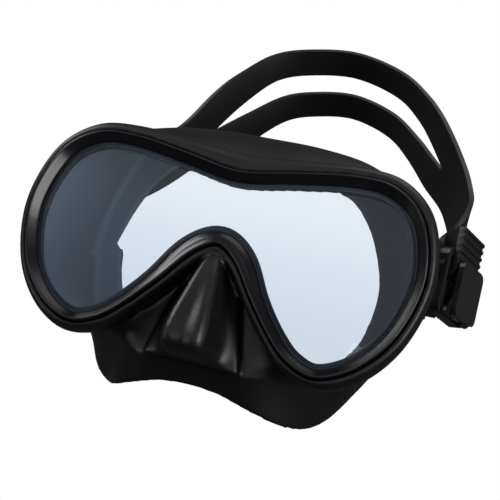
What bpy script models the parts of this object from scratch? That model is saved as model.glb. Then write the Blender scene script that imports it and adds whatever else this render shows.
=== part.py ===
"""Snorkel mask: silicone skirt, single glass lens, clamp ring, swivelling strap buckles and split strap.

Frame: +Z up, the wearer looks along -Y, +X is the wearer's left. The origin is the centre of the
face seal's opening. Sizes are in millimetres and become metres where vertices are made.
"""
import math

import bmesh
import bpy
from mathutils import Matrix, Vector

MM = 0.001

# Overall depths along Y, measured back from the front edge of the rim.
RIM_Y = -45.0
SEAT_DEPTH = 10.6
LEDGE_DEPTH = 12.6
CREASE_DEPTH = 13.0

# Outlines in the X-Z plane: right half, from the top of the middle line to the nose arch. The shoulder,
# where the wall turns outward, and the fold, its rear edge, also carry their depth.
RIM = [(0, 30.3), (22.2, 33.9), (44.6, 37.1), (61, 35.6), (73.7, 24.9), (79, 3.1), (74.1, -18.7),
       (63.5, -33.5), (50, -40.9), (39.3, -38.5), (30.5, -31.4), (19.5, -18.6), (9.3, -5.1), (0, 0.5)]
BUMPER = [(0, 40.5), (22.5, 42), (46, 43.8), (64.5, 41), (78.3, 27.5), (83.5, 3.5), (78.3, -20),
          (67, -36.5), (52, -44.8), (37, -42), (27.5, -34), (16.3, -21), (6.8, -8.8), (0, -4.5)]
SHOULDER = [(0, 54, 25), (22.2, 54.2, 25), (44, 52.7, 25), (58.6, 46.6, 25), (69.6, 30.5, 25.5), (73.7, 5, 26),
            (69.6, -17.5, 28), (58, -31, 34), (47, -36.8, 33), (37, -40.5, 25), (28, -43.3, 17.5),
            (19.5, -45.3, 14), (9, -46, 13.8), (0, -46.2, 13.8)]
FOLD = [(0, 64, 47), (22, 63.5, 47), (43, 60, 48), (56, 51.5, 50), (66, 33, 52), (69.5, 6, 54), (66.3, -18.5, 54),
        (57.5, -37, 53), (50, -49.5, 49), (42, -55.5, 45), (34, -57.4, 33), (24, -56.2, 23.5),
        (12, -53.4, 19), (0, -52.6, 18)]
OPENING = [(0, 42), (18, 43), (36, 41.5), (46, 33.5), (53, 20), (56, 6), (54, -10),
           (47.5, -21.5), (40, -28.5), (32, -34), (24, -39.5), (16, -42.5), (8, -43.6), (0, -44)]
SAMPLES_PER_SPAN = 3

# Skirt wall: stations on the way from the bumper to the shoulder and from there to the fold, with the
# bulge of the wall's upper part.
FRONT_STATIONS = (0.42, 0.75)
FRONT_BULGE = 0.1
REAR_STATIONS = (0.32, 0.68)
REAR_BULGE = 0.24
WALL = 2.3
FRONT_WALL_SHIFT = 2.0
SEAL_LIP = 2.8
CAVITY_DEPTH = 70.0
CHIN_DEPTH = 18.5
CHIN_BLEND = 12.0
SEAT_CLEARANCE = 1.0
LEDGE_REACH = -4.2
ARCH_EXTRA = 3.0

# Nose pocket: height, flange half-width, bulb half-width and front depth of each level.
POCKET_LEVELS = [(-0.6, 5.5, 2.7, 4.0), (-6, 8.0, 3.8, 1.0), (-12, 10.8, 5.2, -2.0), (-20, 13.0, 6.6, -5.0),
                 (-28, 15.2, 8.0, -8.0), (-35, 17.0, 9.2, -10.0), (-40, 18.3, 9.6, -10.4),
                 (-43.4, 18.9, 8.8, -8.6), (-45.6, 19.0, 6.5, -3.0)]
POCKET_BACK = 14.7
POCKET_WALL = 2.0
FLANGE_DEPTH = 10.5
NOSTRIL_GROOVE = 1.0

# Glass, clamp ring and frame hoop: profiles as (offset out from the rim line, depth).
LENS_EDGE = -0.9
LENS_PROFILE = [(LENS_EDGE, 7.2), (LENS_EDGE, 4.5), (-3.7, 4.5), (-5.2, 3.2)]
RING_PROFILE = [(-0.25, 0.05), (0.3, 0.05), (0.7, 0.5), (0.7, 7.2), (-0.6, 7.2), (-0.6, 4.2),
                (-3.3, 4.2), (-3.3, 3.4), (-2.6, 2.5), (-0.75, 0.7)]
HOOP_PROFILE = [(-3.0, 7.5), (0.7, 7.5), (0.7, 10.3), (-3.0, 10.3)]

# Strap anchors and buckles. The swivel axis runs along X through both pivots.
PIVOT_DEPTH = 38.0
PIVOT_Z = 5.5
PIVOT_Y = RIM_Y + PIVOT_DEPTH
BUCKLE_X = 87.0
BUCKLE_YAW = math.radians(25.0)
TAB_BACK_X = 76.2
TAB_FACE_X = 80.2
TAB_FRONT_DEPTH = 8.5
TAB_ROOT_HALF_HEIGHT = 11.0
TAB_RADIUS = 7.6
ANCHOR_DEPTH = 2.0
ANCHOR_FACE_X = 83.8
ANCHOR_RADIUS = 6.0
HUB_RADIUS = 4.8
HUB_END_X = BUCKLE_X + 3.0
PIN_HEAD_X = BUCKLE_X + 3.6
PIN_HEAD_RADIUS = 2.6
PIN_RADIUS = 1.5
RUNNING_GAP = 0.1
GAP = 0.3
FRAME_HALF_WIDTH = 12.6
FRAME_BOTTOM = -6.3
FRAME_TOP = 21.5
FRAME_BACK = -1.2
FRAME_FRONT = 3.0
WINDOW_HALF_WIDTH = 10.2
WINDOW_BOTTOM = 7.1
WINDOW_TOP = 17.9
ROLLER_X = 0.6
ROLLER_Z = 14.0
ROLLER_RADIUS = 2.4
AXLE_RADIUS = 1.1
LEVER_PIN_X = 4.9
LEVER_PIN_Z = -4.4
LEVER_PIN_RADIUS = 0.8
KNUCKLE_RADIUS = 1.7
LEVER_BACK = 6.8
LEVER_FRONT = 9.0
LEVER_HALF_WIDTH = 9.4
LEVER_TOP = 16.3
TOOTH_BOTTOM = 15.1
TOOTH_TOP = 15.8
SPRING_RADIUS = 1.25
SPRING_WIRE = 0.22

# Strap.
STRAP_TILT = math.radians(29.6)
TONGUE_HALF_WIDTH = 9.25
TONGUE_THICKNESS = 2.5
WEB_THICKNESS = 2.1
RIB_HEIGHT = 0.6
RIB_PITCH = 3.0
TAIL_TOP = 30.4
YOKE_HALF_WIDTH = 16.0
BAND_HALF_WIDTH = 19.5
SLOT_HALF_WIDTH = 5.5
# Middle line from the wearer's left buckle over the top: across, along the tilted loop, set back.
STRAP_ROUTE = [(86.5, 40, 0), (83, 57, 0), (76.5, 75, 0), (66.5, 93, 0), (53.5, 114, 0), (38, 131, 0),
               (15, 141, 0), (-7, 137, 0), (-21, 128, 0), (-32, 112, 2), (-42.5, 93, 5), (-52.5, 71, 9),
               (-66, 50, 10), (-79, 34, 5)]
SLOT_START = 3.6
SLOT_END = 11.1
SPAN_STEPS = 3
CONE_LEAN = 0.15

BLACK_SILICONE = ((0.012, 0.012, 0.014, 1.0), 0.42, 0.0)
BLACK_PLASTIC = ((0.018, 0.018, 0.020, 1.0), 0.30, 0.0)
GLASS = ((0.80, 0.88, 0.92, 0.35), 0.04, 0.0)
STEEL = ((0.62, 0.62, 0.64, 1.0), 0.28, 1.0)


def clear_scene():
    """Remove every object of the open scene."""
    for item in list(bpy.data.objects):
        bpy.data.objects.remove(item, do_unlink=True)


def material(name, finish, alpha=1.0):
    """Return a Principled material with the given colour, roughness and metallic value."""
    colour, roughness, metallic = finish
    made = bpy.data.materials.new(name)
    made.use_nodes = True
    shader = made.node_tree.nodes["Principled BSDF"]
    shader.inputs["Base Color"].default_value = colour
    shader.inputs["Roughness"].default_value = roughness
    shader.inputs["Metallic"].default_value = metallic
    shader.inputs["Alpha"].default_value = alpha
    return made


def finish_object(name, bm, finish, origin=(0, 0, 0)):
    """Turn a bmesh in millimetres into an object with its origin at the given point."""
    bmesh.ops.remove_doubles(bm, verts=bm.verts, dist=0.0005)
    bmesh.ops.recalc_face_normals(bm, faces=bm.faces)
    centre = Vector(origin)
    for vert in bm.verts:
        vert.co = (vert.co - centre) * MM
    mesh = bpy.data.meshes.new(name)
    bm.to_mesh(mesh)
    bm.free()
    mesh.shade_smooth()
    mesh.set_sharp_from_angle(angle=math.radians(32))
    made = bpy.data.objects.new(name, mesh)
    made.location = centre * MM
    bpy.context.collection.objects.link(made)
    if finish is None:
        made.hide_render = True
        made.display_type = "WIRE"
    else:
        mesh.materials.append(material(name, finish, finish[0][3]))
    return made


def boolean(target, cutter, operation):
    """Add one exact Boolean modifier."""
    modifier = target.modifiers.new(cutter.name, "BOOLEAN")
    modifier.operation = operation
    modifier.solver = "EXACT"
    modifier.object = cutter


def spline_point(before, start, end, after, share):
    """Return a Catmull-Rom point between start and end."""
    square = share * share
    cube = square * share
    return 0.5 * (2.0 * start + (end - before) * share + (2.0 * before - 5.0 * start + 4.0 * end - after) * square
                  + (3.0 * start - before - 3.0 * end + after) * cube)


def smooth_step(value):
    """Ease from 0 to 1."""
    limited = max(0.0, min(1.0, value))
    return limited * limited * (3.0 - 2.0 * limited)


def closed_outline(half):
    """Mirror a half outline and return the smooth closed loop: points of across, height and depth."""
    right = [Vector(point).to_3d() for point in half]
    left = [Vector((-point.x, point.y, point.z)) for point in reversed(right[1:-1])]
    control = right + left
    count = len(control)
    loop = []
    for index in range(count):
        points = [control[(index + step) % count] for step in (-1, 0, 1, 2)]
        for step in range(SAMPLES_PER_SPAN):
            loop.append(spline_point(*points, step / SAMPLES_PER_SPAN))
    return loop


def offset_outline(loop, distance, arch=0.0):
    """Move a loop out along its normals, and further in by arch around the nose."""
    count = len(loop)
    moved = []
    for index, point in enumerate(loop):
        along = loop[(index + 1) % count] - loop[index - 1]
        normal = Vector((-along.y, along.x, 0.0)).normalized()
        near_nose = math.exp(-(point.x / 20.0) ** 2 - ((point.y + 8.0) / 16.0) ** 2)
        moved.append(point + normal * (distance - arch * near_nose))
    return moved


def mix_outline(first, second, share):
    """Blend two loops point by point."""
    return [a.lerp(b, share) for a, b in zip(first, second)]


def at_depth(loop, depth):
    """Give every point of a loop the same depth."""
    return [Vector((point.x, point.y, depth)) for point in loop]


def deeper(loop, extra):
    """Move a loop back by a distance."""
    return [Vector((point.x, point.y, point.z + extra)) for point in loop]


def ring_of(loop):
    """Turn a loop's points into points in space."""
    return [Vector((point.x, RIM_Y + point.z, point.y)) for point in loop]


def ring_at(loop, depth):
    """Place a loop at one depth behind the front of the rim."""
    return ring_of(at_depth(loop, depth))


def upper_part(point):
    """Share of the upper skirt's rounded form at a point: 1 above the middle, 0 at the lobes."""
    return smooth_step((point.y + 32.0) / 26.0)


def wall_loop(first, second, share, bulge):
    """Loop on the skirt wall between two loops; the upper part bulges outward."""
    loop = []
    for start, end in zip(first, second):
        spread = share + bulge * upper_part(end) * math.sin(math.pi * share)
        point = start.lerp(end, spread)
        point.z = start.z + (end.z - start.z) * share
        loop.append(point)
    return loop


def inner_loop(loop, shift):
    """Inner face of the wall; where the wall faces forward it is also moved back by the shift."""
    moved = offset_outline(loop, -WALL)
    return [Vector((point.x, point.y, point.z + shift * (1.0 - upper_part(outer))))
            for point, outer in zip(moved, loop)]


def filled_chin(loop, opening, shoulder, extra):
    """Cavity loop that keeps the shallow chin solid: there it follows the opening straight back."""
    shaped = []
    for point, edge, front in zip(loop, opening, shoulder):
        straight = Vector((edge.x, edge.y, front.z + FRONT_WALL_SHIFT + extra))
        hollow = smooth_step((edge.z - CHIN_DEPTH) / CHIN_BLEND)
        shaped.append(straight.lerp(point, hollow))
    return shaped


def seal_outlines():
    """The fold and, at the fold's depth less the flange's slope, the face opening."""
    fold = closed_outline(FOLD)
    opening = closed_outline(OPENING)
    return fold, [Vector((near.x, near.y, far.z - 1.8)) for near, far in zip(opening, fold)]


def loft(bm, rings, capped=True, wrapped=False):
    """Skin a list of equal rings, with end caps or wrapped back onto the first ring."""
    rows = [[bm.verts.new(point) for point in ring] for ring in rings]
    count = len(rows[0])
    spans = len(rows) if wrapped else len(rows) - 1
    for index in range(spans):
        here = rows[index]
        there = rows[(index + 1) % len(rows)]
        for step in range(count):
            following = (step + 1) % count
            bm.faces.new((here[step], here[following], there[following], there[step]))
    if capped and not wrapped:
        bm.faces.new(rows[0])
        bm.faces.new(rows[-1])
    return bm


def profile_ring(name, profile, finish, arch_from):
    """Sweep a closed profile round the rim line; points inside arch_from widen at the nose."""
    rim = closed_outline(RIM)
    rings = []
    for offset, depth in profile:
        arch = ARCH_EXTRA if offset < arch_from else 0.0
        rings.append(ring_at(offset_outline(rim, offset, arch), depth))
    return finish_object(name, loft(bmesh.new(), rings, wrapped=True), finish)


def make_lens():
    """Glass pane: a flange under the clamp ring and a bevelled raised front face."""
    rim = closed_outline(RIM)
    rings = []
    for offset, depth in LENS_PROFILE:
        arch = ARCH_EXTRA if offset < LENS_EDGE else 0.0
        rings.append(ring_at(offset_outline(rim, offset, arch), depth))
    return finish_object("lens", loft(bmesh.new(), rings), GLASS)


def skirt_outer():
    """Outer form of the skirt, solid, from the bumper to the face seal."""
    lip = offset_outline(closed_outline(RIM), 1.8)
    bumper = closed_outline(BUMPER)
    crease = at_depth(offset_outline(bumper, -3.0), CREASE_DEPTH)
    shoulder = closed_outline(SHOULDER)
    fold, opening = seal_outlines()
    rings = [ring_at(lip, 1.2)]
    rings.append(ring_at(mix_outline(lip, bumper, 0.55), 2.2))
    rings.append(ring_at(mix_outline(lip, bumper, 0.9), 4.4))
    rings.append(ring_at(bumper, 7.0))
    rings.append(ring_at(offset_outline(bumper, -0.4), 10.0))
    rings.append(ring_of(crease))
    for share in FRONT_STATIONS:
        rings.append(ring_of(wall_loop(crease, shoulder, share, FRONT_BULGE)))
    rings.append(ring_of(shoulder))
    for share in REAR_STATIONS:
        rings.append(ring_of(wall_loop(shoulder, fold, share, REAR_BULGE)))
    rings.append(ring_of(fold))
    rings.append(ring_of(deeper(offset_outline(fold, -1.6), SEAL_LIP)))
    rings.append(ring_of(deeper(mix_outline(fold, opening, 0.5), SEAL_LIP)))
    rings.append(ring_of(offset_outline(opening, -2.0)))
    rings.append(ring_at(offset_outline(opening, -4.0), CAVITY_DEPTH - 8.0))
    return loft(bmesh.new(), rings)


def skirt_cavity():
    """Everything hollow inside the skirt: the lens seat, the eye space and the face opening."""
    rim = closed_outline(RIM)
    crease = at_depth(offset_outline(closed_outline(BUMPER), -3.0), CREASE_DEPTH)
    shoulder = closed_outline(SHOULDER)
    fold, opening = seal_outlines()
    rings = [ring_at(offset_outline(rim, SEAT_CLEARANCE), depth) for depth in (-4.0, SEAT_DEPTH)]
    ledge = offset_outline(rim, LEDGE_REACH, ARCH_EXTRA)
    rings.append(ring_at(ledge, SEAT_DEPTH))
    rings.append(ring_at(ledge, LEDGE_DEPTH))
    rings.append(ring_of(deeper(inner_loop(crease, FRONT_WALL_SHIFT - 0.4), 0.4)))
    for share in FRONT_STATIONS:
        rings.append(ring_of(inner_loop(wall_loop(crease, shoulder, share, FRONT_BULGE), FRONT_WALL_SHIFT)))
    rings.append(ring_of(inner_loop(shoulder, FRONT_WALL_SHIFT)))
    rear = [inner_loop(wall_loop(shoulder, fold, share, REAR_BULGE), FRONT_WALL_SHIFT * (1.0 - share))
            for share in REAR_STATIONS]
    rear.append(deeper(offset_outline(fold, -WALL - 0.4), -2.0))
    rear.append(deeper(offset_outline(fold, -WALL - 2.0), -0.6))
    rear.append(deeper(mix_outline(fold, opening, 0.5), -0.1))
    rear.append(deeper(opening, -2.0))
    for index, loop in enumerate(rear):
        rings.append(ring_of(filled_chin(loop, opening, shoulder, 0.5 * (index + 1))))
    rings.append(ring_at(opening, CAVITY_DEPTH))
    return loft(bmesh.new(), rings)


def pocket_form(inset, back):
    """Nose pocket as stacked level slices, shrunk by inset and reaching to the given depth."""
    rings = []
    for index, (height, flange, bulb, front) in enumerate(POCKET_LEVELS):
        level = height
        if index == len(POCKET_LEVELS) - 1:
            level = height + inset
        if index == 0:
            level = height - inset
        wide = flange - inset
        round_part = bulb - inset
        lead = front + inset
        groove = NOSTRIL_GROOVE * max(0.0, min(1.0, (-height - 14.0) / 20.0))
        half = [(0.0, lead + groove), (0.28 * round_part, lead + 0.4 * groove), (0.6 * round_part, lead),
                (0.88 * round_part, lead + 0.14 * (FLANGE_DEPTH - lead)),
                (round_part, lead + 0.4 * (FLANGE_DEPTH - lead)),
                (0.7 * round_part + 0.3 * wide, lead + 0.8 * (FLANGE_DEPTH - lead)),
                (wide - 0.6, FLANGE_DEPTH - 0.4 + 0.5 * inset), (wide, FLANGE_DEPTH + 0.8 + 0.5 * inset), (wide, back)]
        right = [Vector((across, RIM_Y + depth, level)) for across, depth in half]
        left = [Vector((-point.x, point.y, point.z)) for point in reversed(right[1:])]
        rings.append(right + left)
    return loft(bmesh.new(), rings)


def round_bar(bm, start, end, radius, end_radius=None, segments=24):
    """Add a capped cylinder or cone between two points."""
    base = Vector(start)
    tip = Vector(end)
    axis = (tip - base).normalized()
    side = axis.orthogonal().normalized()
    other = axis.cross(side)
    sizes = (radius, radius if end_radius is None else end_radius)
    rings = []
    for centre, size in zip((base, tip), sizes):
        ring = []
        for step in range(segments):
            angle = 2.0 * math.pi * step / segments
            ring.append(centre + size * (math.cos(angle) * side + math.sin(angle) * other))
        rings.append(ring)
    return loft(bm, rings)


def mirrored(bm, side):
    """Mirror a bmesh across X when it is made for the -X side."""
    if side < 0:
        for vert in bm.verts:
            vert.co.x = -vert.co.x
        bmesh.ops.reverse_faces(bm, faces=bm.faces)
    return bm


def side_name(base, side):
    """Name a paired piece by the wearer's side."""
    return base + ("_left" if side > 0 else "_right")


def pivot_point(side):
    """Middle of the swivel pin on one side."""
    return (side * BUCKLE_X, PIVOT_Y, PIVOT_Z)


def pivot_bar(side, start_x, end_x, radius, end_radius=None, segments=24):
    """Cylinder on the swivel axis between two X positions."""
    bm = round_bar(bmesh.new(), (start_x, PIVOT_Y, PIVOT_Z), (end_x, PIVOT_Y, PIVOT_Z), radius, end_radius, segments)
    return mirrored(bm, side)


def tab_form(side):
    """Flexible tab that runs back from the bumper and ends round the swivel axis."""
    outline = [(TAB_FRONT_DEPTH, PIVOT_Z - TAB_ROOT_HALF_HEIGHT), (TAB_FRONT_DEPTH, PIVOT_Z + TAB_ROOT_HALF_HEIGHT)]
    outline.append((TAB_FRONT_DEPTH + 8.0, PIVOT_Z + TAB_RADIUS + 0.8))
    for step in range(11):
        angle = math.pi * (0.5 - step / 10)
        outline.append((PIVOT_DEPTH + TAB_RADIUS * math.cos(angle), PIVOT_Z + TAB_RADIUS * math.sin(angle)))
    outline.append((TAB_FRONT_DEPTH + 8.0, PIVOT_Z - TAB_RADIUS - 0.8))
    rings = []
    for across in (TAB_BACK_X, TAB_FACE_X):
        rings.append([Vector((across, RIM_Y + depth, height)) for depth, height in outline])
    return mirrored(bevel_edges(loft(bmesh.new(), rings), 0.8, 2), side)


def make_skirt():
    """Skirt with bumper, nose pocket, side pads and face seal, in one piece of silicone."""
    skirt = finish_object("skirt", skirt_outer(), BLACK_SILICONE)
    pocket = finish_object("cutter_pocket", pocket_form(0.0, POCKET_BACK), None)
    cavity = finish_object("cutter_cavity", skirt_cavity(), None)
    pocket_inside = finish_object("cutter_pocket_inside", pocket_form(POCKET_WALL, POCKET_BACK + 4.0), None)
    boolean(skirt, pocket, "UNION")
    for side in (1, -1):
        tab = finish_object(side_name("cutter_tab", side), tab_form(side), None)
        boolean(skirt, tab, "UNION")
    boolean(skirt, cavity, "DIFFERENCE")
    boolean(skirt, pocket_inside, "DIFFERENCE")
    for side in (1, -1):
        recess_bar = pivot_bar(side, TAB_FACE_X - ANCHOR_DEPTH, TAB_FACE_X + 3.0, ANCHOR_RADIUS + GAP)
        recess = finish_object(side_name("cutter_recess", side), recess_bar, None)
        boolean(skirt, recess, "DIFFERENCE")
    return skirt


def buckle_matrix(side):
    """Local buckle axes: X out of the cover, Y across the strap, Z up; mirrored on the -X side."""
    place = Matrix.Translation((BUCKLE_X, PIVOT_Y, PIVOT_Z)) @ Matrix.Rotation(-BUCKLE_YAW, 4, "Z")
    if side < 0:
        place = Matrix.Scale(-1.0, 4, (1.0, 0.0, 0.0)) @ place
    return place


def placed(bm, side):
    """Move a bmesh from the buckle's own axes to its place."""
    bmesh.ops.transform(bm, matrix=buckle_matrix(side), verts=bm.verts)
    if side < 0:
        bmesh.ops.reverse_faces(bm, faces=bm.faces)
    return bm


def rounded_plate(bm, half_width, bottom, top, back, front, corner, steps=3):
    """Rounded rectangle in the buckle's Y-Z plane, extruded along X."""
    outline = []
    corners = ((half_width, top, 0), (-half_width, top, 1), (-half_width, bottom, 2), (half_width, bottom, 3))
    for across, height, quarter in corners:
        centre = (across - math.copysign(corner, across), top - corner if height == top else bottom + corner)
        for step in range(steps + 1):
            angle = math.pi / 2 * (quarter + step / steps)
            outline.append((centre[0] + corner * math.cos(angle), centre[1] + corner * math.sin(angle)))
    rings = [[Vector((depth, across, height)) for across, height in outline] for depth in (back, front)]
    return loft(bm, rings)


def cut(target, name, bm):
    """Subtract a bmesh from an object."""
    boolean(target, finish_object(name, bm, None), "DIFFERENCE")


def join(target, name, bm):
    """Unite a bmesh with an object."""
    boolean(target, finish_object(name, bm, None), "UNION")


def bevel_edges(bm, width, segments=2):
    """Round the sharp outline edges of a plate."""
    edges = [edge for edge in bm.edges if len(edge.link_faces) == 2 and edge.calc_face_angle() > 1.2]
    bmesh.ops.bevel(bm, geom=edges, offset=width, segments=segments, affect="EDGES", profile=0.5)
    return bm


def make_anchor(side):
    """Anchor boss set into the skirt's tab, and the headed swivel pin it carries."""
    anchor_bar = pivot_bar(side, TAB_FACE_X - ANCHOR_DEPTH + GAP, ANCHOR_FACE_X, ANCHOR_RADIUS)
    anchor = finish_object(side_name("anchor_boss", side), anchor_bar, BLACK_PLASTIC)
    hole = pivot_bar(side, TAB_FACE_X - 1.0, ANCHOR_FACE_X + 3.0, PIN_RADIUS + RUNNING_GAP)
    cut(anchor, side_name("cutter_anchor_hole", side), hole)
    pin_bar = pivot_bar(side, TAB_FACE_X - 0.7, PIN_HEAD_X + 0.4, PIN_RADIUS)
    pin = finish_object(side_name("swivel_pin", side), pin_bar, STEEL, pivot_point(side))
    head = pivot_bar(side, PIN_HEAD_X, PIN_HEAD_X + 1.2, PIN_HEAD_RADIUS, PIN_HEAD_RADIUS - 0.5)
    join(pin, side_name("cutter_pin_head", side), head)


def make_buckle_frame(side):
    """Buckle frame: hub on the swivel axis, two cheeks, top bar and the lever's knuckles."""
    name = side_name("buckle_frame", side)
    plate = rounded_plate(bmesh.new(), FRAME_HALF_WIDTH, FRAME_BOTTOM, FRAME_TOP, FRAME_BACK, FRAME_FRONT, 4.0)
    frame = finish_object(name, placed(bevel_edges(plate, 0.5, 1), side), BLACK_PLASTIC, pivot_point(side))
    join(frame, side_name("cutter_hub", side), pivot_bar(side, ANCHOR_FACE_X + GAP, HUB_END_X, HUB_RADIUS))
    for hand in (1, -1):
        inner = hand * 7.6
        outer = hand * 10.0
        knuckle = round_bar(bmesh.new(), (LEVER_PIN_X, inner, LEVER_PIN_Z), (LEVER_PIN_X, outer, LEVER_PIN_Z),
                            KNUCKLE_RADIUS, segments=16)
        join(frame, side_name("cutter_knuckle" + str(hand), side), placed(knuckle, side))
        web = rounded_plate(bmesh.new(), 1.15, LEVER_PIN_Z - 1.5, LEVER_PIN_Z + 1.5, 1.0, LEVER_PIN_X, 0.3, 1)
        bmesh.ops.translate(web, vec=(0.0, 0.5 * (inner + outer), 0.0), verts=web.verts)
        join(frame, side_name("cutter_web" + str(hand), side), placed(web, side))
    window = rounded_plate(bmesh.new(), WINDOW_HALF_WIDTH, WINDOW_BOTTOM, WINDOW_TOP, -6.0, 8.0, 1.2)
    cut(frame, side_name("cutter_window", side), placed(window, side))
    boss_room = pivot_bar(side, 70.0, ANCHOR_FACE_X + GAP, ANCHOR_RADIUS + 0.9)
    cut(frame, side_name("cutter_boss_room", side), boss_room)
    head_room = pivot_bar(side, PIN_HEAD_X - GAP, PIN_HEAD_X + 7.0, PIN_HEAD_RADIUS + 0.6)
    cut(frame, side_name("cutter_head_room", side), head_room)
    cut(frame, side_name("cutter_pin_bore", side), pivot_bar(side, 79.0, 99.0, PIN_RADIUS + RUNNING_GAP))
    axle_hole = round_bar(bmesh.new(), (ROLLER_X, -20, ROLLER_Z), (ROLLER_X, 20, ROLLER_Z), AXLE_RADIUS + RUNNING_GAP)
    cut(frame, side_name("cutter_axle_hole", side), placed(axle_hole, side))
    pin_hole = round_bar(bmesh.new(), (LEVER_PIN_X, -20, LEVER_PIN_Z), (LEVER_PIN_X, 20, LEVER_PIN_Z),
                         LEVER_PIN_RADIUS + 0.08, segments=16)
    cut(frame, side_name("cutter_lever_hole", side), placed(pin_hole, side))


def make_roller(side):
    """Roller that the strap runs round, and its axle."""
    axle = round_bar(bmesh.new(), (ROLLER_X, -12.2, ROLLER_Z), (ROLLER_X, 12.2, ROLLER_Z), AXLE_RADIUS)
    centre = buckle_matrix(side) @ Vector((ROLLER_X, 0.0, ROLLER_Z))
    finish_object(side_name("roller_axle", side), placed(axle, side), STEEL, centre)
    rings = []
    for radius, across in ((AXLE_RADIUS + RUNNING_GAP, -9.8), (ROLLER_RADIUS, -9.8),
                           (ROLLER_RADIUS, 9.8), (AXLE_RADIUS + RUNNING_GAP, 9.8)):
        ring = []
        for step in range(24):
            angle = math.pi / 12 * step
            flute = 0.15 if radius == ROLLER_RADIUS and step % 2 else 0.0
            size = radius - flute
            ring.append(Vector((ROLLER_X + size * math.cos(angle), across, ROLLER_Z + size * math.sin(angle))))
        rings.append(ring)
    roller = loft(bmesh.new(), rings, wrapped=True)
    finish_object(side_name("roller", side), placed(roller, side), BLACK_PLASTIC, centre)


def make_lever(side):
    """Sprung release lever over the buckle, its pin and its torsion spring."""
    centre = buckle_matrix(side) @ Vector((LEVER_PIN_X, 0.0, LEVER_PIN_Z))
    plate = rounded_plate(bmesh.new(), LEVER_HALF_WIDTH, FRAME_BOTTOM + 0.3, LEVER_TOP, LEVER_BACK, LEVER_FRONT, 3.0)
    lever = finish_object(side_name("release_lever", side), placed(bevel_edges(plate, 0.6), side), BLACK_PLASTIC, centre)
    for hand in (1, -1):
        inner = hand * 4.9
        outer = hand * 7.3
        knuckle = round_bar(bmesh.new(), (LEVER_PIN_X, inner, LEVER_PIN_Z), (LEVER_PIN_X, outer, LEVER_PIN_Z),
                            KNUCKLE_RADIUS, segments=16)
        join(lever, side_name("cutter_lever_knuckle" + str(hand), side), placed(knuckle, side))
        web = rounded_plate(bmesh.new(), 1.15, LEVER_PIN_Z - 1.5, LEVER_PIN_Z + 1.5, LEVER_PIN_X, LEVER_BACK + 0.7, 0.3, 1)
        bmesh.ops.translate(web, vec=(0.0, 0.5 * (inner + outer), 0.0), verts=web.verts)
        join(lever, side_name("cutter_lever_web" + str(hand), side), placed(web, side))
    tooth = rounded_plate(bmesh.new(), 8.0, TOOTH_BOTTOM, TOOTH_TOP, 6.2, LEVER_BACK + 0.7, 0.1, 1)
    join(lever, side_name("cutter_tooth", side), placed(tooth, side))
    hole = round_bar(bmesh.new(), (LEVER_PIN_X, -20, LEVER_PIN_Z), (LEVER_PIN_X, 20, LEVER_PIN_Z),
                     LEVER_PIN_RADIUS + 0.08, segments=16)
    cut(lever, side_name("cutter_lever_bore", side), placed(hole, side))
    pin = round_bar(bmesh.new(), (LEVER_PIN_X, -9.9, LEVER_PIN_Z), (LEVER_PIN_X, 9.9, LEVER_PIN_Z),
                    LEVER_PIN_RADIUS, segments=16)
    finish_object(side_name("lever_pin", side), placed(pin, side), STEEL, centre)
    finish_object(side_name("lever_spring", side), placed(spring_form(), side), STEEL, centre)


def spring_form():
    """Torsion spring round the lever pin: four turns and two short legs."""
    turns = 4
    steps = 10
    path = []
    total = turns * steps
    for step in range(total + 1):
        angle = 2.0 * math.pi * step / steps
        path.append(Vector((LEVER_PIN_X + SPRING_RADIUS * math.cos(angle), -2.4 + 4.8 * step / total,
                            LEVER_PIN_Z + SPRING_RADIUS * math.sin(angle))))
    path.insert(0, path[0] + Vector((0.0, 0.0, -1.0)))
    path.append(path[-1] + Vector((0.0, 0.0, 1.6)))
    bm = bmesh.new()
    rings = []
    for index, point in enumerate(path):
        along = (path[min(index + 1, len(path) - 1)] - path[max(index - 1, 0)]).normalized()
        side = along.cross(Vector((0.0, 1.0, 0.0))).normalized()
        other = along.cross(side)
        ring = []
        for step in range(6):
            angle = math.pi / 3 * step
            ring.append(point + SPRING_WIRE * (math.cos(angle) * side + math.sin(angle) * other))
        rings.append(ring)
    return loft(bm, rings)


def loop_point(across, along, back):
    """Point of the strap loop from its distance across, up the tilted loop, and back from its plane."""
    depth = along * math.sin(STRAP_TILT) + back * math.cos(STRAP_TILT)
    height = along * math.cos(STRAP_TILT) - back * math.sin(STRAP_TILT)
    return Vector((across, PIVOT_Y + depth, PIVOT_Z + height))


def tongue_stations(side):
    """Stations down the tail, round the roller and up the inner run, in the buckle's own axes."""
    outer_x = ROLLER_X + ROLLER_RADIUS + GAP + 0.5 * TONGUE_THICKNESS
    bend = outer_x - ROLLER_X
    stations = []
    stations.append((outer_x, TAIL_TOP, 0.0))
    crest = TAIL_TOP - 1.2
    while crest > ROLLER_Z + 2.0:
        for step, height in ((0.9, 0.0), (0.6, RIB_HEIGHT), (-0.6, RIB_HEIGHT), (-0.9, 0.0)):
            stations.append((outer_x, crest + step, height))
        crest -= RIB_PITCH
    for step in range(9):
        angle = math.pi * step / 8
        stations.append((ROLLER_X + bend * math.cos(angle), ROLLER_Z - bend * math.sin(angle), 0.0))
    stations.append((ROLLER_X - bend, WINDOW_TOP, 0.0))
    stations.append((ROLLER_X - bend, FRAME_TOP + 3.5, 0.0))
    matrix = buckle_matrix(side)
    width = (matrix.to_3x3() @ Vector((0.0, 1.0, 0.0))).normalized()
    made = []
    for out, height, rib in stations:
        made.append((matrix @ Vector((out, 0.0, height)), width, TONGUE_HALF_WIDTH, 1.5, TONGUE_THICKNESS, rib, False))
    return made


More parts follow.
